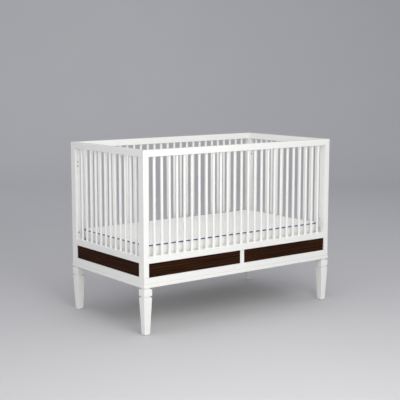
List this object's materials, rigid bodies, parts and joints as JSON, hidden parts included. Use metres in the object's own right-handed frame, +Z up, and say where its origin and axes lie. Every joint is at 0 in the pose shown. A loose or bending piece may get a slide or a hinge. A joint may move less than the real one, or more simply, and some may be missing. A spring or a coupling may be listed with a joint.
{
  "type": "baby crib",
  "caption": "Fixed-side baby crib: white slatted frame on tapered legs, dark wood panels below, height-adjustable slatted support and a lift-out mattress.",
  "frame": {"origin": "centre of the crib's footprint, on the floor", "axes": "+X along the front to the viewer's right, +Y from front to back, +Z up"},
  "size_m": [1.4026, 0.7806, 1.025],
  "materials": {
    "white_lacquer": "white satin lacquer over hardwood, with eased edges",
    "stained_walnut": "walnut veneer with a very dark brown stain, satin, grain along the panel",
    "bare_hardwood": "clear-coated beech",
    "zinc_steel": "zinc-plated",
    "brass": "turned brass",
    "nylon": "moulded nylon",
    "mattress_cover": "white quilted cotton cover",
    "piping_cord": "blue-violet twill piping"
  },
  "bodies": {
    "root": {"post_front_left": "white_lacquer", "post_front_right": "white_lacquer", "post_rear_left": "white_lacquer", "post_rear_right": "white_lacquer", "top_rail_front": "white_lacquer", "top_rail_rear": "white_lacquer", "top_rail_left": "white_lacquer", "top_rail_right": "white_lacquer", "lower_rail_front": "white_lacquer", "lower_rail_rear": "white_lacquer", "lower_rail_left": "white_lacquer", "lower_rail_right": "white_lacquer", "slats_front": "white_lacquer", "slats_rear": "white_lacquer", "slats_left": "white_lacquer", "slats_right": "white_lacquer", "apron_front": "white_lacquer", "apron_rear": "white_lacquer", "apron_left": "white_lacquer", "apron_right": "white_lacquer", "moulding_front": "white_lacquer", "moulding_rear": "white_lacquer", "moulding_left": "white_lacquer", "moulding_right": "white_lacquer", "panel_front_left": "stained_walnut", "panel_front_right": "stained_walnut", "panel_rear_left": "stained_walnut", "panel_rear_right": "stained_walnut", "panel_left": "stained_walnut", "panel_right": "stained_walnut", "mullion_front": "white_lacquer", "mullion_rear": "white_lacquer", "leg_front_left": "white_lacquer", "leg_front_right": "white_lacquer", "leg_rear_left": "white_lacquer", "leg_rear_right": "white_lacquer", "leg_glides": "nylon", "leg_bolts": "zinc_steel", "leg_inserts": "brass", "corner_blocks": "bare_hardwood", "corner_block_screws": "zinc_steel", "post_dowels": "bare_hardwood", "rail_dowels": "bare_hardwood", "level_inserts": "brass", "conversion_inserts": "brass", "support_pins": "zinc_steel"},
    "mattress_support": {"support_rail_front": "bare_hardwood", "support_rail_rear": "bare_hardwood", "support_rail_left": "bare_hardwood", "support_rail_right": "bare_hardwood", "support_slats": "bare_hardwood", "support_slat_screws": "zinc_steel", "support_brackets": "zinc_steel", "bracket_screws": "zinc_steel"},
    "mattress": {"mattress": "mattress_cover", "mattress_piping_top": "piping_cord", "mattress_piping_bottom": "piping_cord"}
  },
  "joints": [
    {"name": "support_height", "type": "slide", "parent": "root", "child": "mattress_support", "axis": [0, 0, 1], "range_m": [0, 0.18]},
    {"name": "mattress_lift", "type": "slide", "parent": "mattress_support", "child": "mattress", "axis": [0, 0, 1], "range_m": [0, 0.7]}
  ]
}
